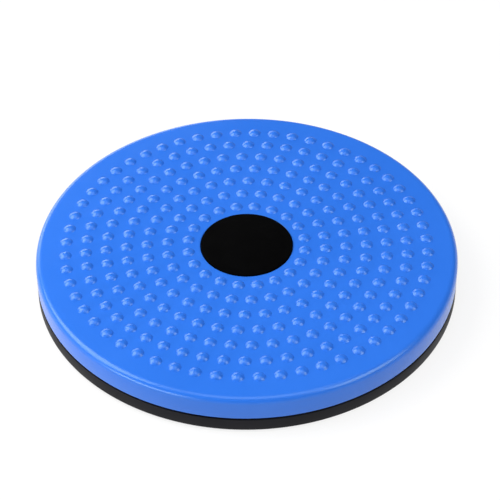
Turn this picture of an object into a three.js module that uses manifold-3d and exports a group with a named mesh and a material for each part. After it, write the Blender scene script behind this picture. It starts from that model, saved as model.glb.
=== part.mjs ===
// Waist twisting disc: a moulded tread plate that turns on a ball race over a fixed base plate.
// Millimetres, +Z up. The origin is on the floor, on the axis that the tread plate turns about.

import * as THREE from 'three';
import { mergeVertices } from 'three/addons/utils/BufferGeometryUtils.js';
import Module from 'manifold-3d';

const wasm = await Module();
wasm.setup();

// Overall form
const discRadius = 140;
const footStand = 1.5; // the rubber pads hold the base plate this far off the floor
const bandHeight = 9; // the base plate's outer wall, which shows below the skirt
const runningGap = 1.3; // the dark line between that band and the skirt
const skirtHeight = 16.3; // from the skirt's lower edge to the foot of the crown
const crownRise = 2.7; // the centre of the tread stands this much higher than the rim

// Clearances
const seatGap = 0.3; // between a piece and what it sits on or in
const skirtClearance = 0.9; // round the base's lip, inside the turning skirt

// Tread plate
const plateWall = 3;
const skirtWall = 3;
const rimRadius = 4.4; // the round between the top face and the skirt
const treadRibDepth = 6.5;
const treadRibWall = 2.2;

// Massage domes, in rings that share one starting ray
const domeRings = 7;
const innermostDomes = 20;
const domesMorePerRing = 6;
const domeBaseRadius = 4.2;
const domeHeight = 2;
const domeRoot = 0.8; // how far a dome's root runs into the wall
const plainBorder = 15.4; // from the outermost ring's centres to the rim's round
const plainCentre = 8.6; // from the cap's edge to the innermost ring's centres
const startRay = THREE.MathUtils.degToRad(9.9);

// Centre cup and cap
const capRadius = 30.5;
const capThickness = 3;
const capProud = 0.95; // the cap's edge stands this far above the tread
const capEdge = 0.6;
const capLedge = 5.5; // the step round the cup that the cap lies on
const cupWall = 2.5;
const plugDepth = 5;
const plugWall = 1.6;

// Base plate
const baseFloor = 3.2;
const bandEdge = 0.8;
const lipHeight = 3.5; // the inner wall reaches this far up into the skirt
const lipWall = 2.4;
const baseRibHeight = 4.5;
const baseRibWall = 2.2;
const ribCount = 8;

// Rubber pads
const footCount = 6;
const footRadius = 12;
const footInset = 22; // from the plate's edge to a pad's centre
const footSocket = 1.7; // depth of the pad's recess
const footEdge = 0.5;

// Ball race
const ballCount = 16;
const ballDiameter = 8;
const racePitchRadius = 72;
const raceWidth = 14;
const raceThickness = 2.8;
const raceLand = 2.2; // the base's raised ring under the race
const raceWallHeight = 2;
const raceWall = 2;
const grooveWidth = 7;
const grooveFloor = 3;
const grooveDepth = 1.4;
const cageThickness = 3;
const cageWidth = 13.6;

// Pivot, with an M8 bolt
const boltDiameter = 8;
const boltHeadFlats = 13;
const boltHeadHeight = 5.3;
const boltHeadInset = 0.5; // the head stays this far above the base's underside
const boltHeadroom = 0.6; // between the bolt's end and the cap
const boltEnd = 0.6; // thread that shows above the nut
const nutFlats = 13;
const nutHeight = 6.5;
const washerRadius = 9;
const washerThickness = 1.6;
const bushWall = 2.2;
const bushFlange = 4;
const bushFlangeThickness = 1.5;
const bushProud = 0.3; // the washer bears on the bush and not on the plate
const thrustThickness = 1.2;
const hubRoof = 3; // wall between the bolt head's pocket and the hub's top
const hubWall = 3;

// Facets
const plateSides = 54;
const cupSides = 28;
const raceSides = 32;
const footSides = 12;
const pivotSides = 18;
const pocketSides = 6;
const ballSides = 8;
const ballBands = 4;
const domeSides = 6;
const domeSteps = 2;
const rimSteps = 3;

// Making: how far a cut runs past a face and a joined piece runs into its neighbour
const overrun = 1;
const weld = 1e-4;

// Heights, from the floor up
const baseUnderZ = footStand;
const floorTopZ = baseUnderZ + baseFloor;
const bandTopZ = baseUnderZ + bandHeight;
const lipTopZ = bandTopZ + lipHeight;
const skirtZ = bandTopZ + runningGap;
const rimTopZ = skirtZ + skirtHeight;
const treadUnderZ = rimTopZ - plateWall;
const crownTopZ = rimTopZ + crownRise;

// Radii of the plates' walls
const crownRadius = discRadius - rimRadius;
const skirtInnerRadius = discRadius - skirtWall;
const lipRadius = skirtInnerRadius - skirtClearance;
const lipInnerRadius = lipRadius - lipWall;
const footCircle = discRadius - footInset;

// Heights of the ball race
const ballRadius = ballDiameter / 2;
const lowerShelfZ = floorTopZ + raceLand;
const lowerRaceZ = lowerShelfZ + seatGap;
const lowerRaceTopZ = lowerRaceZ + raceThickness;
const ballZ = lowerRaceTopZ - grooveDepth + seatGap + ballRadius;
const upperRaceZ = ballZ + ballRadius + seatGap - grooveDepth;
const upperRaceTopZ = upperRaceZ + raceThickness;
const upperShelfZ = upperRaceTopZ + seatGap;

// Radii of the ball race
const raceInnerRadius = racePitchRadius - raceWidth / 2;
const raceOuterRadius = racePitchRadius + raceWidth / 2;
const landInnerRadius = raceInnerRadius - seatGap - raceWall;
const landOuterRadius = raceOuterRadius + seatGap + raceWall;

// Cap and cup
const capTopZ = crownTopZ - crownFall(capRadius) + capProud;
const capUnderZ = capTopZ - capThickness;
const capSeatZ = capUnderZ - seatGap;
const cupRadius = capRadius - capLedge;
const cupOuterRadius = cupRadius + cupWall;
const plugRadius = cupRadius - seatGap;

// Pivot: the hub's heights from the bolt's head up, and the cup's from the cap down
const boltRadius = boltDiameter / 2;
const boltHeadZ = baseUnderZ + boltHeadInset;
const pocketTopZ = boltHeadZ + boltHeadHeight + seatGap;
const hubTopZ = pocketTopZ + hubRoof;
const thrustZ = hubTopZ + seatGap;
const bushZ = thrustZ + thrustThickness + seatGap;
const cupUnderZ = bushZ + bushFlangeThickness + seatGap;
const boltTopZ = capUnderZ - boltHeadroom;
const nutZ = boltTopZ - boltEnd - nutHeight;
const washerZ = nutZ - seatGap - washerThickness;
const bushTopZ = washerZ - seatGap;
const cupFloorZ = bushTopZ - bushProud;
const pocketFlats = boltHeadFlats + 2 * seatGap;
const hubRadius = hexCorner(pocketFlats) + hubWall;
const boltHole = clearOf(boltRadius + seatGap, pivotSides);
const bushRadius = boltHole + bushWall;
const flangeRadius = bushRadius + bushFlange;

// How far the crown has fallen below its centre at a radius
function crownFall(radius) {
  return crownRise * (radius / crownRadius) ** 2;
}

// Corner radius of a hexagon of a given size across its flats
function hexCorner(flats) {
  return flats / 2 / Math.cos(Math.PI / 6);
}

// Corner radius of a faceted hole whose flats stay clear of a round of this radius
function clearOf(radius, sides) {
  return radius / Math.cos(Math.PI / sides);
}

// Places evenly spaced on a circle
function around(count, radius, start = 0) {
  return Array.from({ length: count }, (_, index) => {
    const angle = start + (index * 2 * Math.PI) / count;
    return { angle, x: radius * Math.cos(angle), y: radius * Math.sin(angle) };
  });
}

// A closed mesh as a solid: only its positions, welded, without the triangles that close up at a pole
function toSolid(geometry) {
  geometry.deleteAttribute('normal');
  geometry.deleteAttribute('uv');
  const welded = mergeVertices(geometry, weld);
  const corners = welded.index.array;
  const kept = [];
  for (let first = 0; first < corners.length; first += 3) {
    const [a, b, c] = corners.slice(first, first + 3);
    if (a !== b && b !== c && c !== a) kept.push(a, b, c);
  }
  return new wasm.Manifold(new wasm.Mesh({
    numProp: 3,
    vertProperties: welded.attributes.position.array,
    triVerts: new Uint32Array(kept),
  }));
}

function toGeometry(solid) {
  const { vertProperties, triVerts } = solid.getMesh();
  const geometry = new THREE.BufferGeometry();
  geometry.setAttribute('position', new THREE.BufferAttribute(vertProperties, 3));
  geometry.setIndex(new THREE.BufferAttribute(triVerts, 1));
  geometry.computeVertexNormals();
  return geometry;
}

function joined(solids) {
  return solids.reduce((whole, solid) => whole.add(solid));
}

function cut(body, tools) {
  return tools.reduce((whole, tool) => whole.subtract(tool), body);
}

// A turned solid. The outline is radius and height pairs, with the material on its left,
// and it is closed by its first point unless it runs from axis to axis.
function revolve(outline, sides) {
  const onAxis = outline[0][0] === 0;
  const closed = onAxis ? outline : [...outline, outline[0]];
  const points = closed.map(([radius, height]) => new THREE.Vector2(radius, height));
  return toSolid(new THREE.LatheGeometry(points, sides).rotateX(Math.PI / 2));
}

function disc(radius, bottom, top, sides) {
  return revolve([[0, bottom], [radius, bottom], [radius, top], [0, top]], sides);
}

function tube(inner, outer, bottom, top, sides) {
  return revolve([[inner, bottom], [outer, bottom], [outer, top], [inner, top]], sides);
}

function cylinderAt({ x, y }, radius, bottom, top, sides) {
  const height = top - bottom;
  const upright = new THREE.CylinderGeometry(radius, radius, height, sides).rotateX(Math.PI / 2);
  return toSolid(upright.translate(x, y, bottom + height / 2));
}

function hexPrism(flats, bottom, top) {
  return cylinderAt({ x: 0, y: 0 }, hexCorner(flats), bottom, top, 6);
}

// Straight ribs that run outwards from one wall into the next
function radialRibs(inner, outer, bottom, top, wall) {
  const length = outer - inner;
  return around(ribCount, 0).map(({ angle }) => {
    const rib = new THREE.BoxGeometry(length, wall, top - bottom);
    return toSolid(rib.translate(inner + length / 2, 0, (bottom + top) / 2).rotateZ(angle));
  });
}

// Points of an arc in the outline's plane, by angle from the outward direction
function arc(centreRadius, centreZ, radius, from, to, steps) {
  return Array.from({ length: steps + 1 }, (_, step) => {
    const angle = from + ((to - from) * step) / steps;
    return [centreRadius + radius * Math.cos(angle), centreZ + radius * Math.sin(angle)];
  });
}

// The tread's shell as it is before crowning: its top face lies flat at the crown's full height
function treadShell() {
  const rim = arc(crownRadius, rimTopZ - rimRadius, rimRadius, 0, Math.PI / 2, rimSteps);
  return revolve([
    [0, treadUnderZ],
    [skirtInnerRadius, treadUnderZ],
    [skirtInnerRadius, skirtZ],
    [discRadius, skirtZ],
    ...rim.slice(0, -1),
    [crownRadius, crownTopZ],
    [0, crownTopZ],
  ], plateSides);
}

// The ring that holds a race: a shelf between two low walls
function raceHolder(rootZ, shelfZ, wallEndZ) {
  const outline = [
    [landInnerRadius, rootZ],
    [landOuterRadius, rootZ],
    [landOuterRadius, wallEndZ],
    [landOuterRadius - raceWall, wallEndZ],
    [landOuterRadius - raceWall, shelfZ],
    [landInnerRadius + raceWall, shelfZ],
    [landInnerRadius + raceWall, wallEndZ],
    [landInnerRadius, wallEndZ],
  ];
  return revolve(wallEndZ > rootZ ? outline : outline.reverse(), raceSides);
}

// One dome: a low cap of a sphere, with a root that tapers off inside the wall
function dome({ x, y }) {
  const sphereRadius = (domeBaseRadius ** 2 + domeHeight ** 2) / (2 * domeHeight);
  const domeTopZ = crownTopZ + domeHeight;
  const baseAngle = Math.acos(domeBaseRadius / sphereRadius);
  const cap = arc(0, domeTopZ - sphereRadius, sphereRadius, baseAngle, Math.PI / 2, domeSteps);
  const outline = [
    [0, crownTopZ - domeRoot],
    [domeBaseRadius, crownTopZ],
    ...cap.slice(1, -1),
    [0, domeTopZ],
  ];
  const points = outline.map(([radius, height]) => new THREE.Vector2(radius, height));
  const turned = new THREE.LatheGeometry(points, domeSides).rotateX(Math.PI / 2);
  return toSolid(turned.translate(x, y, 0));
}

function massageDomes() {
  const innermost = capRadius + plainCentre;
  const pitch = (crownRadius - plainBorder - innermost) / (domeRings - 1);
  const domes = [];
  for (let ring = 0; ring < domeRings; ring += 1) {
    const count = innermostDomes + ring * domesMorePerRing;
    domes.push(...around(count, innermost + ring * pitch, startRay).map(dome));
  }
  return domes;
}

// Draws the flat top face and its domes down to the crown
function crowned(solid) {
  const geometry = toGeometry(solid);
  const place = geometry.attributes.position;
  for (let index = 0; index < place.count; index += 1) {
    if (place.getZ(index) > crownTopZ - weld) {
      const fall = crownFall(Math.hypot(place.getX(index), place.getY(index)));
      place.setZ(index, place.getZ(index) - fall);
    }
  }
  geometry.computeVertexNormals();
  return geometry;
}

function treadPlate() {
  const ribEndZ = treadUnderZ - treadRibDepth;
  const ribRootZ = treadUnderZ + overrun;
  const body = joined([
    treadShell(),
    raceHolder(ribRootZ, upperShelfZ, upperShelfZ - raceWallHeight),
    disc(cupOuterRadius, cupUnderZ, ribRootZ, cupSides),
    ...radialRibs(cupOuterRadius - overrun, landInnerRadius + overrun, ribEndZ, ribRootZ, treadRibWall),
    ...radialRibs(landOuterRadius - overrun, skirtInnerRadius + overrun, ribEndZ, ribRootZ, treadRibWall),
  ]);
  const hollowed = cut(body, [
    disc(capRadius + seatGap, capSeatZ, crownTopZ + overrun, cupSides),
    disc(cupRadius, cupFloorZ, capSeatZ + overrun, cupSides),
    disc(bushRadius + seatGap, cupUnderZ - overrun, cupFloorZ + overrun, pivotSides),
  ]);
  return crowned(joined([hollowed, ...massageDomes()]));
}

function centreCap() {
  return toGeometry(revolve([
    [0, capUnderZ],
    [plugRadius - plugWall, capUnderZ],
    [plugRadius - plugWall, capUnderZ - plugDepth],
    [plugRadius, capUnderZ - plugDepth],
    [plugRadius, capUnderZ],
    [capRadius, capUnderZ],
    [capRadius, capTopZ - capEdge],
    [capRadius - capEdge, capTopZ],
    [0, capTopZ],
  ], cupSides));
}

function basePlate() {
  const ribRootZ = floorTopZ - overrun;
  const ribTopZ = floorTopZ + baseRibHeight;
  const shell = revolve([
    [0, baseUnderZ],
    [discRadius - bandEdge, baseUnderZ],
    [discRadius, baseUnderZ + bandEdge],
    [discRadius, bandTopZ],
    [lipRadius, bandTopZ],
    [lipRadius, lipTopZ],
    [lipInnerRadius, lipTopZ],
    [lipInnerRadius, floorTopZ],
    [0, floorTopZ],
  ], plateSides);
  const body = joined([
    shell,
    raceHolder(ribRootZ, lowerShelfZ, lowerShelfZ + raceWallHeight),
    disc(hubRadius, ribRootZ, hubTopZ, pivotSides),
    ...radialRibs(hubRadius - overrun, landInnerRadius + overrun, ribRootZ, ribTopZ, baseRibWall),
    ...radialRibs(landOuterRadius - overrun, lipInnerRadius + overrun, ribRootZ, ribTopZ, baseRibWall),
  ]);
  const sockets = around(footCount, footCircle).map((place) => cylinderAt(
    place, footRadius + seatGap, baseUnderZ - overrun, baseUnderZ + footSocket, footSides));
  return toGeometry(cut(body, [
    ...sockets,
    hexPrism(pocketFlats, baseUnderZ - overrun, pocketTopZ),
    disc(boltHole, pocketTopZ - overrun, hubTopZ + overrun, pivotSides),
  ]));
}

// A pad stands on the floor at its own origin
function footPad() {
  const top = footStand + footSocket - seatGap;
  return toGeometry(revolve([
    [0, 0],
    [footRadius - footEdge, 0],
    [footRadius, footEdge],
    [footRadius, top],
    [0, top],
  ], footSides));
}

// A race with its groove up, and its back at height zero
function race() {
  return toGeometry(revolve([
    [raceInnerRadius, 0],
    [raceOuterRadius, 0],
    [raceOuterRadius, raceThickness],
    [racePitchRadius + grooveWidth / 2, raceThickness],
    [racePitchRadius + grooveFloor / 2, raceThickness - grooveDepth],
    [racePitchRadius - grooveFloor / 2, raceThickness - grooveDepth],
    [racePitchRadius - grooveWidth / 2, raceThickness],
    [raceInnerRadius, raceThickness],
  ], raceSides));
}

function ballCage() {
  const half = cageThickness / 2;
  const inner = racePitchRadius - cageWidth / 2;
  const outer = racePitchRadius + cageWidth / 2;
  const pocket = clearOf(ballRadius + seatGap, pocketSides);
  return toGeometry(cut(
    tube(inner, outer, ballZ - half, ballZ + half, raceSides),
    around(ballCount, racePitchRadius).map((place) => cylinderAt(
      place, pocket, ballZ - half - overrun, ballZ + half + overrun, pocketSides)),
  ));
}

function pivotBolt() {
  const headTopZ = boltHeadZ + boltHeadHeight;
  return toGeometry(joined([
    hexPrism(boltHeadFlats, boltHeadZ, headTopZ),
    disc(boltRadius, headTopZ - overrun, boltTopZ, pivotSides),
  ]));
}

function pivotNut() {
  return toGeometry(cut(hexPrism(nutFlats, nutZ, nutZ + nutHeight), [
    disc(boltHole, nutZ - overrun, nutZ + nutHeight + overrun, pivotSides),
  ]));
}

function flatWasher() {
  return toGeometry(tube(boltHole, washerRadius, washerZ, washerZ + washerThickness, pivotSides));
}

function thrustWasher() {
  return toGeometry(tube(boltHole, flangeRadius, thrustZ, thrustZ + thrustThickness, pivotSides));
}

function hubBush() {
  return toGeometry(revolve([
    [boltHole, bushZ],
    [flangeRadius, bushZ],
    [flangeRadius, bushZ + bushFlangeThickness],
    [bushRadius, bushZ + bushFlangeThickness],
    [bushRadius, bushTopZ],
    [boltHole, bushTopZ],
  ], pivotSides));
}

// Materials
const bluePlastic = () => new THREE.MeshStandardMaterial({ color: 0x3579ee, roughness: 0.35, metalness: 0 });
const blackPlastic = () => new THREE.MeshStandardMaterial({ color: 0x242427, roughness: 0.5, metalness: 0 });
const capPlastic = () => new THREE.MeshStandardMaterial({ color: 0x050506, roughness: 0.6, metalness: 0 });
const whitePlastic = () => new THREE.MeshStandardMaterial({ color: 0xe6e3da, roughness: 0.5, metalness: 0 });
const rubber = () => new THREE.MeshStandardMaterial({ color: 0x1b1b1c, roughness: 0.85, metalness: 0 });
const raceSteel = () => new THREE.MeshStandardMaterial({ color: 0xa9abae, roughness: 0.35, metalness: 1 });
const ballSteel = () => new THREE.MeshStandardMaterial({ color: 0xd2d4d8, roughness: 0.12, metalness: 1 });
const zincSteel = () => new THREE.MeshStandardMaterial({ color: 0xb4b6ba, roughness: 0.4, metalness: 1 });

function piece(name, geometry, material) {
  const mesh = new THREE.Mesh(geometry, material);
  mesh.name = name;
  return mesh;
}

// What stands still on the floor
function baseGroup() {
  const base = new THREE.Group();
  base.add(
    piece('base_plate', basePlate(), blackPlastic()),
    piece('pivot_bolt', pivotBolt(), zincSteel()),
    piece('flat_washer', flatWasher(), zincSteel()),
    piece('pivot_nut', pivotNut(), zincSteel()),
    piece('thrust_washer', thrustWasher(), whitePlastic()),
  );
  const lowerRace = piece('lower_race', race(), raceSteel());
  lowerRace.position.z = lowerRaceZ;
  base.add(lowerRace);
  const pad = footPad();
  around(footCount, footCircle).forEach(({ x, y }, index) => {
    const foot = piece(`foot_${index + 1}`, pad, rubber());
    foot.position.set(x, y, 0);
    base.add(foot);
  });
  return base;
}

// What the user stands on, which turns about the bolt
function turntableGroup() {
  const turntable = new THREE.Group();
  const upperRace = piece('upper_race', race(), raceSteel());
  upperRace.position.z = upperRaceTopZ;
  upperRace.rotation.x = Math.PI;
  turntable.add(
    piece('tread_plate', treadPlate(), bluePlastic()),
    piece('centre_cap', centreCap(), capPlastic()),
    piece('hub_bush', hubBush(), whitePlastic()),
    upperRace,
  );
  return turntable;
}

// The cage and its balls, which follow at half the speed
function ballGroup() {
  const train = new THREE.Group();
  train.add(piece('ball_cage', ballCage(), whitePlastic()));
  const ball = toGeometry(toSolid(new THREE.SphereGeometry(ballRadius, ballSides, ballBands)));
  around(ballCount, racePitchRadius).forEach(({ x, y }, index) => {
    const number = String(index + 1).padStart(2, '0');
    const mesh = piece(`ball_${number}`, ball, ballSteel());
    mesh.position.set(x, y, ballZ);
    train.add(mesh);
  });
  return train;
}

const twistingDisc = new THREE.Group();
twistingDisc.add(baseGroup(), turntableGroup(), ballGroup());

export default twistingDisc;
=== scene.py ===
import math

import bmesh
import bpy
from mathutils import Matrix, Vector


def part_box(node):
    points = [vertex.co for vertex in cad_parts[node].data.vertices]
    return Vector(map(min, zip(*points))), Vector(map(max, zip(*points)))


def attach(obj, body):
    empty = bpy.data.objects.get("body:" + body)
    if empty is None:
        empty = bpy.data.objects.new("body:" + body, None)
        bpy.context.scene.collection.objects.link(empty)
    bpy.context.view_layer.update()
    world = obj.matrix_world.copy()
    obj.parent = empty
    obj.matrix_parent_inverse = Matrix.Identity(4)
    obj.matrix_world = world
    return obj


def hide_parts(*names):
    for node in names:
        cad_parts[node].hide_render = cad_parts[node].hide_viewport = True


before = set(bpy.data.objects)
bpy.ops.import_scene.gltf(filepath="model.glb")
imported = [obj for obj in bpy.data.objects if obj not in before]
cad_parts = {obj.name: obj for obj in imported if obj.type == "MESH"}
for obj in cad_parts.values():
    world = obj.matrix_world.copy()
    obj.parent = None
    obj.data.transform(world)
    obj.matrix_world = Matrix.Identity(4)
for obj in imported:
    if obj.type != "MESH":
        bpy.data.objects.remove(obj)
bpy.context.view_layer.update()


# Base plate: the fixed lower dish, injection moulded in black polypropylene with a fine spark-eroded grain.
# Its race holder, ribs, hub and bolt pocket are the frame's. The lip, the band that shows under the skirt and
# the underside with its six pad sockets are turned smooth here and joined to them.
MM = 0.001
WELD = 0.001 * MM
ON_FACE = 0.02 * MM


def box_of(node):
    """A CAD node's lowest and highest corners at rest."""
    return [Vector(point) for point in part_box(node)]


base_low, base_high = box_of("base_plate")
disc_radius = base_high.y
base_under = base_low.z
lip_top = base_high.z
lip_radius = 136.1 * MM
lip_wall = 2.4 * MM
band_top = 10.5 * MM
band_edge = 0.5 * MM
under_edge = 0.8 * MM
bolt_pocket_reach = 20 * MM
foot_low, foot_high = box_of("foot_1")
foot_radius = (foot_high.x - foot_low.x) / 2
foot_circle = (foot_high.x + foot_low.x) / 2
foot_count = 6
socket_gap = 0.3 * MM
socket_top = foot_high.z + socket_gap
socket_steps = 48
round_steps = 216
crease_angle = math.radians(32)


def radius_of(point):
    """Distance from the axis that the disc turns on."""
    return math.hypot(point.x, point.y)


def once(elements):
    """The same elements in their first order, each of them once."""
    return list(dict.fromkeys(elements))


def parts(geometry, kind):
    """The vertices, edges or faces among an operator's results."""
    return [part for part in geometry if isinstance(part, kind)]


def weld(bm):
    """Merges the points that lie in one place."""
    bmesh.ops.remove_doubles(bm, verts=bm.verts, dist=WELD)


def welded_copy(node):
    """A CAD node's solid as one connected mesh."""
    bm = bmesh.new()
    bm.from_mesh(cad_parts[node].data)
    weld(bm)
    return bm


def drop_faces(bm, unwanted):
    """Deletes the faces that the test picks, and what only they used."""
    bmesh.ops.delete(bm, geom=[face for face in bm.faces if unwanted(face)], context="FACES")


def ring_of(edges, place):
    """The open edges that lie round the axis at a radius and height."""
    radius, height = place
    return [edge for edge in edges if edge.is_boundary and all(
        abs(radius_of(vert.co) - radius) < ON_FACE and abs(vert.co.z - height) < ON_FACE
        for vert in edge.verts)]


def turn(bm, outline, steps):
    """Spins an outline of radii and heights about the axis, and gives its first and last rings of edges."""
    verts = [bm.verts.new((radius, 0, height)) for radius, height in outline]
    edges = [bm.edges.new(pair) for pair in zip(verts, verts[1:])]
    before = set(bm.faces)
    bmesh.ops.spin(bm, geom=verts + edges, cent=(0, 0, 0), axis=(0, 0, 1), angle=2 * math.pi,
                   steps=steps, use_merge=True)
    made = once(edge for face in bm.faces if face not in before for edge in face.edges)
    return ring_of(made, outline[0]), ring_of(made, outline[-1])


def corner(radius, height, size, start, end, steps=4):
    """Points of a round of this size about a centre, from one angle to another, in degrees from outwards."""
    angles = [math.radians(start + (end - start) * step / steps) for step in range(steps + 1)]
    return [(radius + size * math.cos(angle), height + size * math.sin(angle)) for angle in angles]


def bridge(bm, first, second):
    """Joins two rings of edges with a band of faces."""
    bmesh.ops.bridge_loops(bm, edges=[*first, *second])


def circle(bm, x, y, z, radius, steps):
    """A ring of edges round a place."""
    made = bmesh.ops.create_circle(bm, cap_ends=False, radius=radius, segments=steps,
                                   matrix=Matrix.Translation((x, y, z)))
    return once(edge for vert in made["verts"] for edge in vert.link_edges)


def around(count, radius):
    """Places evenly spaced round the axis, the first of them on the X axis."""
    angles = [2 * math.pi * number / count for number in range(count)]
    return [(radius * math.cos(angle), radius * math.sin(angle)) for angle in angles]


def make_piece(name, bm, material, body, node):
    """Turns a finished mesh into a piece that rides on a body and stands for a CAD node."""
    bm.normal_update()
    bmesh.ops.recalc_face_normals(bm, faces=bm.faces)
    for face in bm.faces:
        face.smooth = True
    for edge in bm.edges:
        edge.smooth = edge.calc_face_angle(0) < crease_angle
    mesh = bpy.data.meshes.new(name)
    bm.to_mesh(mesh)
    bm.free()
    mesh.materials.append(material)
    piece = bpy.data.objects.new(name, mesh)
    bpy.context.scene.collection.objects.link(piece)
    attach(piece, body)
    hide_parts(node)


def shader_of(material):
    """A material's main shader."""
    return material.node_tree.nodes["Principled BSDF"]


def new_material(name, **sockets):
    """A material whose plain numbers are set on its shader's own sockets."""
    material = bpy.data.materials.new(name)
    material.use_nodes = True
    for socket, value in sockets.items():
        shader_of(material).inputs[socket.replace("_", " ")].default_value = value
    return material


def noise(material, scale, detail=2.0, roughness=0.5):
    """A noise pattern on the piece's own coordinates, which are in metres."""
    nodes, links = material.node_tree.nodes, material.node_tree.links
    place = nodes.new("ShaderNodeTexCoord")
    pattern = nodes.new("ShaderNodeTexNoise")
    pattern.inputs["Scale"].default_value = scale
    pattern.inputs["Detail"].default_value = detail
    pattern.inputs["Roughness"].default_value = roughness
    links.new(place.outputs["Object"], pattern.inputs["Vector"])
    return pattern.outputs["Fac"]


def spread(material, value, low, high):
    """Maps the middle of a pattern's range onto low to high."""
    ramp = material.node_tree.nodes.new("ShaderNodeMapRange")
    for socket, number in (("From Min", 0.3), ("From Max", 0.7), ("To Min", low), ("To Max", high)):
        ramp.inputs[socket].default_value = number
    material.node_tree.links.new(value, ramp.inputs["Value"])
    return ramp.outputs["Result"]


def tint(material, value, dark, light):
    """Colours the material between two tones by a pattern."""
    mix = material.node_tree.nodes.new("ShaderNodeMix")
    mix.data_type = "RGBA"
    mix.inputs["A"].default_value = (*dark, 1)
    mix.inputs["B"].default_value = (*light, 1)
    material.node_tree.links.new(spread(material, value, 0, 1), mix.inputs["Factor"])
    material.node_tree.links.new(mix.outputs["Result"], shader_of(material).inputs["Base Color"])


def gloss(material, value, smoothest, roughest):
    """Varies the material's roughness by a pattern."""
    roughness = spread(material, value, smoothest, roughest)
    material.node_tree.links.new(roughness, shader_of(material).inputs["Roughness"])


def relief(material, value, depth, strength):
    """Raises a pattern from the surface by a depth in metres, over any relief that is there already."""
    bump = material.node_tree.nodes.new("ShaderNodeBump")
    bump.inputs["Strength"].default_value = strength
    bump.inputs["Distance"].default_value = depth
    material.node_tree.links.new(value, bump.inputs["Height"])
    normal = shader_of(material).inputs["Normal"]
    if normal.links:
        material.node_tree.links.new(normal.links[0].from_socket, bump.inputs["Normal"])
    material.node_tree.links.new(bump.outputs["Normal"], normal)


def black_plastic():
    """Black polypropylene: a fine spark-eroded grain over a slow drift of tone and gloss."""
    material = new_material("black_plastic", Specular_IOR_Level=0.13)
    tint(material, noise(material, scale=24), dark=(0.0064, 0.0061, 0.0081), light=(0.0098, 0.0094, 0.0121))
    gloss(material, noise(material, scale=60, detail=3), smoothest=0.46, roughest=0.56)
    relief(material, noise(material, scale=2600, detail=3, roughness=0.6), depth=0.03 * MM, strength=0.6)
    return material


def base_plate_mesh():
    bm = welded_copy("base_plate")
    lip_inner = lip_radius - lip_wall
    drop_faces(bm, lambda face: (
        radius_of(face.calc_center_median()) > lip_inner + ON_FACE
        or (face.calc_center_median().z < socket_top + ON_FACE
            and any(radius_of(vert.co) > bolt_pocket_reach for vert in face.verts))))
    inner_ring = ring_of(bm.edges, (lip_inner, lip_top))
    pocket_ring = [edge for edge in bm.edges if edge.is_boundary and all(
        abs(vert.co.z - base_under) < ON_FACE for vert in edge.verts)]
    top_ring, under_ring = turn(bm, [
        (lip_inner + band_edge / 2, lip_top),
        *corner(lip_radius - band_edge, lip_top - band_edge, band_edge, 90, 0),
        (lip_radius, band_top),
        *corner(disc_radius - band_edge, band_top - band_edge, band_edge, 90, 0),
        *corner(disc_radius - under_edge, base_under + under_edge, under_edge, 0, -90),
    ], round_steps)
    bridge(bm, inner_ring, top_ring)
    sockets = [circle(bm, x, y, base_under, foot_radius + socket_gap, socket_steps)
               for x, y in around(foot_count, foot_circle)]
    mouths = [edge for socket in sockets for edge in socket]
    bmesh.ops.triangle_fill(bm, use_beauty=True, normal=(0, 0, -1),
                            edges=[*under_ring, *pocket_ring, *mouths])
    for socket in sockets:
        raised = bmesh.ops.extrude_edge_only(bm, edges=socket)["geom"]
        ceiling = [edge for edge in parts(raised, bmesh.types.BMEdge) if edge.is_boundary]
        bmesh.ops.translate(bm, verts=parts(raised, bmesh.types.BMVert), vec=(0, 0, socket_top - base_under))
        bmesh.ops.edgeloop_fill(bm, edges=ceiling)
    return bm


make_piece("base_plate_moulding", base_plate_mesh(), black_plastic(),
           body="base", node="base_plate")


# Rubber pads: what the disc stands on, six small rounds moulded in black rubber and glued into the base
# plate's sockets. Their flat treads have shallow ring grooves.
pad_edge = 0.5 * MM
pad_edge_steps = 3
pad_groove_depth = 0.35 * MM
pad_groove_wall = 0.3 * MM
pad_groove_radii = (3.2 * MM, 6.2 * MM, 9.2 * MM)
pad_groove_width = 1.0 * MM
pad_steps = 48


def rubber():
    """Black rubber: matt, with a dusty bloom and a soft moulded grain."""
    material = new_material("rubber", Roughness=0.85, Specular_IOR_Level=0.3)
    tint(material, noise(material, scale=90, detail=4), dark=(0.009, 0.009, 0.009), light=(0.02, 0.02, 0.019))
    relief(material, noise(material, scale=1800), depth=0.04 * MM, strength=0.5)
    return material


def lathe(outline, steps):
    """A piece turned from an outline that runs from the axis to the axis, or closes on itself."""
    bm = bmesh.new()
    turn(bm, outline, steps)
    weld(bm)
    return bm


def pad_groove(radius):
    """Four points of a ring groove cut up into a pad's tread."""
    half = pad_groove_width / 2
    ceiling = foot_low.z + pad_groove_depth
    return [
        (radius - half, foot_low.z),
        (radius - half + pad_groove_wall, ceiling),
        (radius + half - pad_groove_wall, ceiling),
        (radius + half, foot_low.z),
    ]


def pad_mesh(x, y):
    bm = lathe([
        (0, foot_low.z),
        *(point for radius in pad_groove_radii for point in pad_groove(radius)),
        *corner(foot_radius - pad_edge, foot_low.z + pad_edge, pad_edge, -90, 0, pad_edge_steps),
        (foot_radius, foot_high.z),
        (0, foot_high.z),
    ], pad_steps)
    bmesh.ops.translate(bm, verts=bm.verts, vec=(x, y, 0))
    return bm


pad_rubber = rubber()
for number, (x, y) in enumerate(around(foot_count, foot_circle), start=1):
    make_piece(f"rubber_pad_{number}", pad_mesh(x, y), pad_rubber, body="base",
               node=f"foot_{number}")


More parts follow.
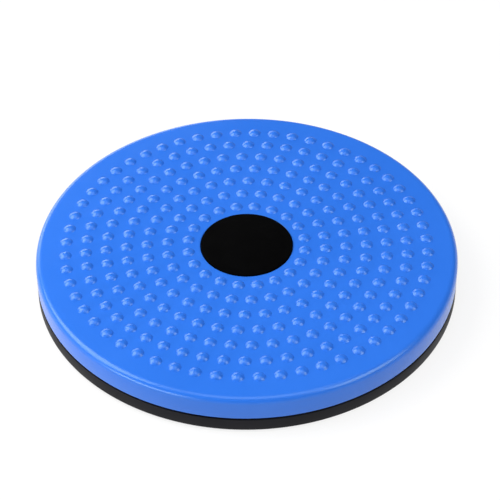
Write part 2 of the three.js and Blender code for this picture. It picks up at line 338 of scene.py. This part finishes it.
# Lower race: a ring pressed from bearing strip, with a rolled groove for the balls. It drops between the two
# low walls on the base plate's floor, and a film of grease holds it there.
race_low, race_high = box_of("lower_race")
race_pitch = 72 * MM
race_width = 14 * MM
race_thickness = race_high.z - race_low.z
groove_width = 7 * MM
groove_depth = 1.4 * MM
groove_steps = 8
race_edge = 0.3 * MM
soft_edge_angle = math.radians(40)
soft_edge_segments = 3


def soften(bm, size):
    """Rounds off each sharp edge."""
    edges = [edge for edge in bm.edges if edge.is_manifold and edge.calc_face_angle() > soft_edge_angle]
    bmesh.ops.bevel(bm, geom=edges, offset=size, offset_type="OFFSET", affect="EDGES",
                    segments=soft_edge_segments, profile=0.5, material=-1, clamp_overlap=True)


def soft_ring(outline, edge, steps):
    """A ring turned from an outline that goes once round its section, with its edges rounded off."""
    bm = lathe([*outline, outline[0]], steps)
    bmesh.ops.recalc_face_normals(bm, faces=bm.faces)
    soften(bm, edge)
    return bm


def turning_marks(material, scale, depth, strength):
    """Fine rings about the axis, as a lathe or a rolling die leaves them."""
    nodes, links = material.node_tree.nodes, material.node_tree.links
    place = nodes.new("ShaderNodeTexCoord")
    wave = nodes.new("ShaderNodeTexWave")
    wave.wave_type = "RINGS"
    wave.rings_direction = "Z"
    for socket, value in (("Scale", scale), ("Distortion", 0.6), ("Detail", 2.0), ("Detail Scale", 3.0)):
        wave.inputs[socket].default_value = value
    links.new(place.outputs["Object"], wave.inputs["Vector"])
    relief(material, wave.outputs["Fac"], depth, strength)


def race_steel():
    """Rolled bearing strip: bright steel under grease, with fine rings and a slow change of tone."""
    material = new_material("race_steel", Metallic=1.0)
    tint(material, noise(material, scale=70, detail=4), dark=(0.33, 0.33, 0.34), light=(0.46, 0.46, 0.47))
    gloss(material, noise(material, scale=160, detail=3), smoothest=0.24, roughest=0.42)
    turning_marks(material, scale=900, depth=0.01 * MM, strength=0.5)
    return material


def race_mesh(back, way):
    """A race whose back lies at a height, and whose groove faces up (1) or down (-1)."""
    face = back + way * race_thickness
    half_groove = groove_width / 2
    groove_round = (half_groove ** 2 + groove_depth ** 2) / (2 * groove_depth)
    half_angle = math.degrees(math.asin(half_groove / groove_round))
    groove = corner(race_pitch, groove_round - groove_depth, groove_round,
                    -90 + half_angle, -90 - half_angle, groove_steps)
    return soft_ring([
        (race_pitch - race_width / 2, back),
        (race_pitch + race_width / 2, back),
        (race_pitch + race_width / 2, face),
        *((radius, face + way * height) for radius, height in groove),
        (race_pitch - race_width / 2, face),
    ], race_edge, round_steps)


rolled_steel = race_steel()
make_piece("lower_ball_race", race_mesh(race_low.z, 1), rolled_steel,
           body="base", node="lower_race")


# Pivot bolt: a zinc-plated M8 hexagon bolt, put in from below. Its head sits in the base plate's pocket, so
# that it can't turn, and its thread, shown as turned rings, runs up through both plates.
bolt_low, bolt_high = box_of("pivot_bolt")
bolt_radius = 4 * MM
head_flats = 13 * MM
head_corner_radius = head_flats / 2 / math.cos(math.pi / 6)
head_height = 5.3 * MM
head_chamfer = math.radians(30)
chamfer_fall = (head_corner_radius - head_flats / 2) * math.tan(head_chamfer)
thread_pitch = 1.25 * MM
thread_depth = 0.5 * MM
thread_start = 7 * MM
pivot_steps = 72


def hexagon(bm):
    """Saws the six flats of a bolt's head or a nut on a turned blank, and closes each one."""
    for side in range(6):
        angle = side * math.pi / 3
        outwards = Vector((math.cos(angle), math.sin(angle), 0))
        sawn = bmesh.ops.bisect_plane(bm, geom=[*bm.verts, *bm.edges, *bm.faces], clear_outer=True,
                                      plane_co=outwards * head_flats / 2, plane_no=outwards)["geom_cut"]
        bmesh.ops.edgeloop_fill(bm, edges=parts(sawn, bmesh.types.BMEdge))


def zinc_steel():
    """Zinc-plated steel: pale grey with a faint blue cast and a cloudy, slightly rough plating."""
    material = new_material("zinc_steel", Metallic=1.0)
    tint(material, noise(material, scale=300, detail=5, roughness=0.65),
         dark=(0.38, 0.39, 0.42), light=(0.54, 0.55, 0.56))
    gloss(material, noise(material, scale=500, detail=4), smoothest=0.3, roughest=0.5)
    relief(material, noise(material, scale=3000), depth=0.01 * MM, strength=0.6)
    return material


def bolt_mesh():
    head_top = bolt_low.z + head_height
    outline = [
        (0, bolt_low.z),
        (head_flats / 2, bolt_low.z),
        (head_corner_radius, bolt_low.z + chamfer_fall),
        (head_corner_radius, head_top),
        (bolt_radius, head_top),
    ]
    height = head_top + thread_start
    while height + thread_pitch < bolt_high.z - thread_depth:
        outline += [(bolt_radius, height), (bolt_radius - thread_depth, height + thread_pitch / 2)]
        height += thread_pitch
    outline += [(bolt_radius, height), (bolt_radius - thread_depth, bolt_high.z), (0, bolt_high.z)]
    bm = lathe(outline, pivot_steps)
    hexagon(bm)
    return bm


plated_steel = zinc_steel()
make_piece("pivot_hex_bolt", bolt_mesh(), plated_steel, body="base", node="pivot_bolt")


# Thrust washer: a ring turned from natural acetal that the bush's flange slides on. It lies loose on the base
# plate's hub, round the bolt.
thrust_low, thrust_high = box_of("thrust_washer")
bolt_hole = 4.37 * MM
washer_edge = 0.2 * MM


def white_plastic():
    """Natural acetal: a creamy white that light goes a little way into, with a faint moulded grain."""
    material = new_material("white_plastic", Subsurface_Weight=0.15, Subsurface_Scale=1.5 * MM)
    tint(material, noise(material, scale=120, detail=3), dark=(0.74, 0.72, 0.65), light=(0.83, 0.81, 0.75))
    gloss(material, noise(material, scale=200, detail=3), smoothest=0.34, roughest=0.46)
    relief(material, noise(material, scale=2400), depth=0.01 * MM, strength=0.5)
    return material


def washer_mesh(low, high):
    """A plain washer round the bolt that fills a CAD node's box."""
    return soft_ring([(bolt_hole, low.z), (high.y, low.z), (high.y, high.z), (bolt_hole, high.z)],
                     washer_edge, pivot_steps)


natural_plastic = white_plastic()
make_piece("thrust_ring", washer_mesh(thrust_low, thrust_high), natural_plastic,
           body="base", node="thrust_washer")


# Ball cage: a flat ring moulded in natural acetal, with sixteen round pockets that keep the balls apart. It
# lies loose between the races, and the balls carry it round.
cage_low, cage_high = box_of("ball_cage")
cage_inner = 65.2 * MM
cage_edge = 0.4 * MM
ball_low, ball_high = box_of("ball_01")
ball_radius = (ball_high.z - ball_low.z) / 2
ball_height = (ball_high.z + ball_low.z) / 2
ball_count = 16
pocket_gap = 0.35 * MM
pocket_cuts = 7
cell_inset = 0.5 * MM


def ring_of_cells(bm, inner, outer, height, count, first_angle, cuts):
    """A flat band of cells round the axis. The first is centred on an angle, and cuts divide each side."""
    inside = circle(bm, 0, 0, height, inner, count)
    # A circle's first corner lies on the Y axis, a quarter turn on from the angle's zero.
    to_first_corner = Matrix.Rotation(first_angle + math.pi / count - math.pi / 2, 3, "Z")
    bmesh.ops.rotate(bm, verts=once(vert for edge in inside for vert in edge.verts), cent=(0, 0, 0),
                     matrix=to_first_corner)
    grown = bmesh.ops.extrude_edge_only(bm, edges=inside)["geom"]
    wider = outer / inner
    bmesh.ops.scale(bm, vec=(wider, wider, 1), verts=parts(grown, bmesh.types.BMVert))
    cells = parts(grown, bmesh.types.BMFace)
    bmesh.ops.bisect_edges(bm, edges=once(edge for cell in cells for edge in cell.edges), cuts=cuts)
    for vert in once(vert for cell in cells for vert in cell.verts if vert.is_boundary):
        radius = radius_of(vert.co)
        reach = inner if radius < (inner + outer) / 2 else outer
        vert.co.xy *= reach / radius
    return cells


def draw_in(bm, cells, ring_radius, radius, height):
    """Insets each cell and draws the new inner outline onto a circle about the cell's centre, at a height."""
    bmesh.ops.inset_individual(bm, faces=cells, thickness=cell_inset, use_even_offset=True)
    for cell in cells:
        centre = cell.calc_center_median()
        centre.xy *= ring_radius / radius_of(centre)
        centre.z = height
        corners = [loop.vert for loop in cell.loops]
        first = corners[0].co - centre
        way = math.copysign(2 * math.pi / len(corners), first.cross(corners[1].co - centre).z)
        start = math.atan2(first.y, first.x)
        for number, vert in enumerate(corners):
            angle = start + way * number
            vert.co = centre + radius * Vector((math.cos(angle), math.sin(angle), 0))


def cage_mesh():
    bm = bmesh.new()
    cells = ring_of_cells(bm, cage_inner, cage_high.x, cage_low.z, ball_count, 0, pocket_cuts)
    draw_in(bm, cells, race_pitch, ball_radius + pocket_gap, cage_low.z)
    bmesh.ops.delete(bm, geom=cells, context="FACES_ONLY")
    raised = bmesh.ops.extrude_face_region(bm, geom=bm.faces[:], use_keep_orig=True)["geom"]
    bmesh.ops.translate(bm, verts=parts(raised, bmesh.types.BMVert), vec=(0, 0, cage_high.z - cage_low.z))
    bmesh.ops.recalc_face_normals(bm, faces=bm.faces)
    soften(bm, cage_edge)
    return bm


make_piece("ball_cage_ring", cage_mesh(), natural_plastic,
           body="ball_train", node="ball_cage")


# Balls: sixteen polished bearing balls of hardened steel, 8 mm across. They are dropped into the cage's
# pockets and greased, and run in the grooves of both races.
ball_subdivisions = 4


def ball_steel():
    """Polished bearing steel: nearly a mirror, dulled in places by a thin film of grease."""
    material = new_material("ball_steel", Metallic=1.0)
    tint(material, noise(material, scale=150, detail=3), dark=(0.6, 0.61, 0.63), light=(0.68, 0.69, 0.71))
    gloss(material, noise(material, scale=400, detail=3), smoothest=0.06, roughest=0.16)
    return material


def ball_mesh(x, y):
    bm = bmesh.new()
    bmesh.ops.create_icosphere(bm, subdivisions=ball_subdivisions, radius=ball_radius,
                               matrix=Matrix.Translation((x, y, ball_height)))
    return bm


polished_steel = ball_steel()
for number, (x, y) in enumerate(around(ball_count, race_pitch), start=1):
    make_piece(f"steel_ball_{number:02d}", ball_mesh(x, y), polished_steel,
               body=f"ball_{number:02d}", node=f"ball_{number:02d}")


# Upper race: the same pressed ring of bearing strip, turned over. It lies between the low walls under the
# tread plate, and the balls run in its groove.
upper_race_back = box_of("upper_race")[1].z
make_piece("upper_ball_race", race_mesh(upper_race_back, -1), rolled_steel,
           body="turntable", node="upper_race")


# Hub bush: a flanged bush moulded in natural acetal. It is pressed into the tread plate's hub from below and
# turns on the bolt, with its flange on the thrust washer.
bush_low, bush_high = box_of("hub_bush")
bush_wall = 2.2 * MM
bush_flange = 1.5 * MM


def bush_mesh():
    sleeve = bolt_hole + bush_wall
    return soft_ring([
        (bolt_hole, bush_low.z),
        (bush_high.y, bush_low.z),
        (bush_high.y, bush_low.z + bush_flange),
        (sleeve, bush_low.z + bush_flange),
        (sleeve, bush_high.z),
        (bolt_hole, bush_high.z),
    ], washer_edge, pivot_steps)


make_piece("hub_bush_moulding", bush_mesh(), natural_plastic,
           body="turntable", node="hub_bush")


# Tread plate: the turning top, one injection moulding in satin blue polypropylene. Its ribs, race holder and
# cup are the frame's. The skirt, the rim and the top are made here: each of the seven rings of massage domes
# starts as a flat band of cells, and the whole top is then drawn down to its crown.
tread_low, tread_high = box_of("tread_plate")
tread_radius = tread_high.y
skirt_bottom = tread_low.z
skirt_inner = 137 * MM
skirt_edge = 0.55 * MM
skirt_ledge = 0.3 * MM
crown_top = 30.8 * MM
crown_rise = 2.7 * MM
rim_radius = 4.4 * MM
rim_centre = tread_radius - rim_radius
rim_steps = 10
tread_under = 25.1 * MM
cap_low, cap_high = box_of("centre_cap")
cap_seat_depth = 3.3 * MM
cap_seat = cap_high.z - cap_seat_depth
cap_rebate = 30.8 * MM
cap_rebate_edge = 0.35 * MM
cup_radius = 25 * MM
border_radii = (133.4 * MM, 130.6 * MM, 128.2 * MM)
dome_rings = 7
innermost_domes = 20
domes_more_per_ring = 6
first_dome_circle = 39.1 * MM
last_dome_circle = 120.2 * MM
dome_ray = math.radians(9.9)
dome_base = 4.2 * MM
dome_height = 2.0 * MM
dome_band_shares = (1.0, 0.82, 0.5)
dome_cuts = 3
cell_reach = 6.45 * MM


def crown_height(radius):
    """Height of the crowned top face at a distance from the axis."""
    return crown_top - crown_rise * (radius / rim_centre) ** 2


def dome_rise(radius):
    """Height of a dome above its foot at a distance from its own centre: a low cap of a sphere."""
    sphere = (dome_base ** 2 + dome_height ** 2) / (2 * dome_height)
    return math.sqrt(sphere ** 2 - radius ** 2) - sphere + dome_height


def dome_ring(bm, ring_radius, count):
    """One ring of domes, each in its own cell of the top face."""
    cells = ring_of_cells(bm, ring_radius - cell_reach, ring_radius + cell_reach, crown_top, count,
                          dome_ray, dome_cuts)
    for share in dome_band_shares:
        radius = dome_base * share
        draw_in(bm, cells, ring_radius, radius, crown_top + dome_rise(radius))
    for tip in bmesh.ops.poke(bm, faces=cells)["verts"]:
        tip.co.z = crown_top + dome_height


def skirt_outline():
    """From the skirt's lower face up the wall, over the rim and in across the plain border."""
    wall_round = tread_radius - skirt_edge
    rim_foot = crown_height(rim_centre) - rim_radius
    slope = math.degrees(2 * crown_rise / rim_centre)
    return [
        (skirt_inner + skirt_ledge, skirt_bottom),
        *corner(wall_round, skirt_bottom + skirt_edge, skirt_edge, -90, 0),
        *corner(rim_centre, rim_foot, rim_radius, 0, 90 - slope, rim_steps),
        *((radius, crown_height(radius)) for radius in border_radii),
    ]


def rebate_outline():
    """From the cap's seat up the rebate's wall and over its edge."""
    edge_foot = crown_height(cap_rebate) - cap_rebate_edge
    return [
        (cap_rebate, cap_seat),
        *corner(cap_rebate + cap_rebate_edge, edge_foot, cap_rebate_edge, 180, 90),
    ]


def tread_mesh():
    bm = welded_copy("tread_plate")
    drop_faces(bm, lambda face: (
        radius_of(face.calc_center_median()) > skirt_inner + ON_FACE
        or all(vert.co.z > tread_under + ON_FACE and radius_of(vert.co) > cup_radius - ON_FACE
               for vert in face.verts)))
    cup_ring = ring_of(bm.edges, (cup_radius, cap_seat))
    skirt_ring = ring_of(bm.edges, (skirt_inner, skirt_bottom))
    circles = [first_dome_circle + (last_dome_circle - first_dome_circle) * ring / (dome_rings - 1)
               for ring in range(dome_rings)]
    counts = [innermost_domes + domes_more_per_ring * ring for ring in range(dome_rings)]
    for ring_radius, count in zip(circles, counts):
        dome_ring(bm, ring_radius, count)
    for vert in bm.verts:
        if vert.co.z > crown_top - ON_FACE:
            vert.co.z += crown_height(radius_of(vert.co)) - crown_top
    seat_ring, rebate_ring = turn(bm, rebate_outline(), counts[0] * (dome_cuts + 1))
    ledge_ring, border_ring = turn(bm, skirt_outline(), counts[-1] * (dome_cuts + 1))
    bmesh.ops.triangle_fill(bm, use_beauty=True, edges=[*cup_ring, *seat_ring], normal=(0, 0, 1))
    bmesh.ops.triangle_fill(bm, use_beauty=True, edges=[*skirt_ring, *ledge_ring], normal=(0, 0, -1))
    outer_ring = rebate_ring
    for ring_radius in circles:
        inside, outside = ring_radius - cell_reach, ring_radius + cell_reach
        bridge(bm, outer_ring, ring_of(bm.edges, (inside, crown_height(inside))))
        outer_ring = ring_of(bm.edges, (outside, crown_height(outside)))
    bridge(bm, outer_ring, border_ring)
    return bm


def blue_plastic():
    """Blue polypropylene, satin: a slow drift of tone and gloss, and a skin that isn't quite flat."""
    material = new_material("blue_plastic", Specular_IOR_Level=0.5, Specular_Tint=(0.8, 1.0, 0.72, 1.0))
    tint(material, noise(material, scale=16), dark=(0.0215, 0.155, 0.695), light=(0.0255, 0.165, 0.725))
    gloss(material, noise(material, scale=45, detail=3), smoothest=0.22, roughest=0.27)
    relief(material, noise(material, scale=110), depth=0.01 * MM, strength=0.35)
    relief(material, noise(material, scale=1900), depth=0.006 * MM, strength=0.5)
    return material


make_piece("tread_plate_moulding", tread_mesh(), blue_plastic(),
           body="turntable", node="tread_plate")


# Flat washer: a zinc-plated steel washer, stamped from strip. It lies round the bolt, on top of the bush and
# under the nut.
washer_low, washer_high = box_of("flat_washer")
make_piece("flat_steel_washer", washer_mesh(washer_low, washer_high), plated_steel,
           body="base", node="flat_washer")


# Pivot nut: a zinc-plated M8 hexagon nut on the bolt's end. It is set so that the plates turn freely, then
# locked on the thread.
nut_low, nut_high = box_of("pivot_nut")


def nut_mesh():
    mouth = bolt_hole + thread_depth
    outline = [
        (bolt_hole, nut_low.z + thread_depth),
        (mouth, nut_low.z),
        (head_flats / 2, nut_low.z),
        (head_corner_radius, nut_low.z + chamfer_fall),
        (head_corner_radius, nut_high.z - chamfer_fall),
        (head_flats / 2, nut_high.z),
        (mouth, nut_high.z),
        (bolt_hole, nut_high.z - thread_depth),
    ]
    bm = lathe([*outline, outline[0]], pivot_steps)
    hexagon(bm)
    return bm


make_piece("pivot_hex_nut", nut_mesh(), plated_steel, body="base", node="pivot_nut")


# Centre cap: a plain matt black disc moulded with a short plug. The plug is pressed into the tread plate's
# cup and closes it over the nut.
cap_radius = 30.5 * MM
cap_thickness = 3 * MM
cap_edge = 0.7 * MM
cap_edge_steps = 5
plug_radius = 24.7 * MM
plug_wall = 1.6 * MM
plug_edge = 0.4 * MM
cap_steps = 144


def cap_mesh():
    under = cap_high.z - cap_thickness
    return lathe([
        (0, under),
        (plug_radius - plug_wall, under),
        (plug_radius - plug_wall, cap_low.z),
        (plug_radius - plug_edge, cap_low.z),
        (plug_radius, cap_low.z + plug_edge),
        (plug_radius, under),
        (cap_radius, under),
        *corner(cap_radius - cap_edge, cap_high.z - cap_edge, cap_edge, 0, 90, cap_edge_steps),
        (0, cap_high.z),
    ], cap_steps)


def cap_plastic():
    """Matt black plastic: very dark, with the finest grain."""
    material = new_material("cap_plastic", Specular_IOR_Level=0.02)
    tint(material, noise(material, scale=60, detail=3),
         dark=(0.0006, 0.0006, 0.0007), light=(0.0012, 0.0012, 0.0013))
    gloss(material, noise(material, scale=90, detail=3), smoothest=0.7, roughest=0.8)
    relief(material, noise(material, scale=2600), depth=0.01 * MM, strength=0.5)
    return material


make_piece("centre_cap_disc", cap_mesh(), cap_plastic(),
           body="turntable", node="centre_cap")


# Floor: a plain pale sheet that the disc stands on. To the eye and in reflections it is white, most of it by
# its own glow, so that the shadow on it is faint. To all other light it is a pale grey.
floor_size = 6.0
floor_grey = 0.7
floor_lit_share = 0.2


def any_ray(owner, *kinds):
    """One where a ray is of any of these kinds, for a material or a world."""
    nodes, links = owner.node_tree.nodes, owner.node_tree.links
    path = nodes.new("ShaderNodeLightPath")
    found = path.outputs[kinds[0]]
    for kind in kinds[1:]:
        either = nodes.new("ShaderNodeMath")
        either.operation = "MAXIMUM"
        links.new(found, either.inputs[0])
        links.new(path.outputs[kind], either.inputs[1])
        found = either.outputs["Value"]
    return found


def dull_shader(nodes, level):
    """An evenly dull grey surface."""
    shader = nodes.new("ShaderNodeBsdfDiffuse")
    shader.inputs["Color"].default_value = (level, level, level, 1)
    return shader


def floor_material():
    material = bpy.data.materials.new("pale_floor")
    material.use_nodes = True
    nodes, links = material.node_tree.nodes, material.node_tree.links
    nodes.remove(nodes["Principled BSDF"])
    seen = any_ray(material, "Is Camera Ray", "Is Glossy Ray", "Is Transmission Ray")
    glow = nodes.new("ShaderNodeEmission")
    glow.inputs["Strength"].default_value = 1 - floor_lit_share
    white = nodes.new("ShaderNodeAddShader")
    links.new(dull_shader(nodes, floor_lit_share).outputs[0], white.inputs[0])
    links.new(glow.outputs[0], white.inputs[1])
    mix = nodes.new("ShaderNodeMixShader")
    links.new(seen, mix.inputs[0])
    links.new(dull_shader(nodes, floor_grey).outputs[0], mix.inputs[1])
    links.new(white.outputs[0], mix.inputs[2])
    links.new(mix.outputs[0], nodes["Material Output"].inputs["Surface"])
    return material


def lay_floor():
    bm = bmesh.new()
    bmesh.ops.create_grid(bm, x_segments=1, y_segments=1, size=floor_size / 2)
    mesh = bpy.data.meshes.new("floor")
    bm.to_mesh(mesh)
    bm.free()
    mesh.materials.append(floor_material())
    sheet = bpy.data.objects.new("floor", mesh)
    bpy.context.scene.collection.objects.link(sheet)


lay_floor()


# Light: five softboxes round and above the disc, the strongest ones at its left, in a dim even room. The
# backdrop is white at the horizon, and goes dull a little way above it.
lamp_distance = 1.3
room_strength = 0.15
white_below = 0.03
dull_above = 0.15
dull_strength = 0.1


def softbox(name, direction, width, height, radiance):
    """An area light that faces the disc, with its brightness given as radiance."""
    data = bpy.data.lights.new(name, "AREA")
    data.shape = "RECTANGLE"
    data.size = width
    data.size_y = height
    data.energy = radiance * math.pi * width * height
    lamp = bpy.data.objects.new(name, data)
    bpy.context.scene.collection.objects.link(lamp)
    towards = Vector(direction).normalized()
    lamp.location = towards * lamp_distance
    lamp.rotation_euler = towards.to_track_quat("Z", "Y").to_euler()


def set_room():
    """To the eye and in reflections the room is its backdrop. To all other light it is one dim even level."""
    world = bpy.data.worlds.new("pale_room")
    bpy.context.scene.world = world
    world.use_nodes = True
    nodes, links = world.node_tree.nodes, world.node_tree.links
    seen = any_ray(world, "Is Camera Ray", "Is Glossy Ray", "Is Transmission Ray")
    direction = nodes.new("ShaderNodeTexCoord")
    parted = nodes.new("ShaderNodeSeparateXYZ")
    links.new(direction.outputs["Generated"], parted.inputs["Vector"])
    backdrop = nodes.new("ShaderNodeMapRange")
    backdrop.interpolation_type = "SMOOTHSTEP"
    for socket, value in (("From Min", white_below), ("From Max", dull_above),
                          ("To Min", 1.0), ("To Max", dull_strength)):
        backdrop.inputs[socket].default_value = value
    links.new(parted.outputs["Z"], backdrop.inputs["Value"])
    level = nodes.new("ShaderNodeMix")
    level.inputs["A"].default_value = room_strength
    links.new(seen, level.inputs["Factor"])
    links.new(backdrop.outputs["Result"], level.inputs["B"])
    nodes["Background"].inputs["Color"].default_value = (1, 1, 1, 1)
    links.new(level.outputs["Result"], nodes["Background"].inputs["Strength"])


set_room()
softbox("left", direction=(-0.69, 0.1, 0.716), width=1.0, height=1.0, radiance=4.9)
softbox("low_left", direction=(-0.72, -0.672, 0.17), width=0.9, height=0.17, radiance=13.0)
softbox("right", direction=(0.683, -0.348, 0.643), width=0.75, height=0.75, radiance=4.0)
softbox("top", direction=(0.024, -0.137, 0.99), width=0.9, height=0.9, radiance=1.8)
softbox("back", direction=(-0.45, 0.86, 0.24), width=1.1, height=0.5, radiance=2.8)


# Camera: a long lens 42 degrees above the floor, set where the photograph was taken from. It is turned a
# little about its own axis, and shifted to frame the disc as the photograph does.
aim_height = 28.7 * MM
camera_distance = 1.3629
camera_elevation = math.radians(42.14)
camera_roll = math.radians(-0.45)
focal_length = 147.77
sensor_width = 36
frame_pixels = 500
aim_pixel = (246.7, 247.0)


def set_camera():
    data = bpy.data.cameras.new("camera")
    data.lens = focal_length
    data.sensor_width = sensor_width
    data.shift_x = (frame_pixels / 2 - aim_pixel[0]) / frame_pixels
    data.shift_y = (aim_pixel[1] - frame_pixels / 2) / frame_pixels
    eye = bpy.data.objects.new("camera", data)
    bpy.context.scene.collection.objects.link(eye)
    back = Vector((0, -math.cos(camera_elevation), math.sin(camera_elevation)))
    eye.location = back * camera_distance + Vector((0, 0, aim_height))
    facing = Matrix.Rotation(math.pi / 2 - camera_elevation, 3, "X") @ Matrix.Rotation(camera_roll, 3, "Z")
    eye.rotation_euler = facing.to_euler()
    bpy.context.scene.camera = eye


set_camera()
bpy.context.scene.view_settings.view_transform = "Standard"
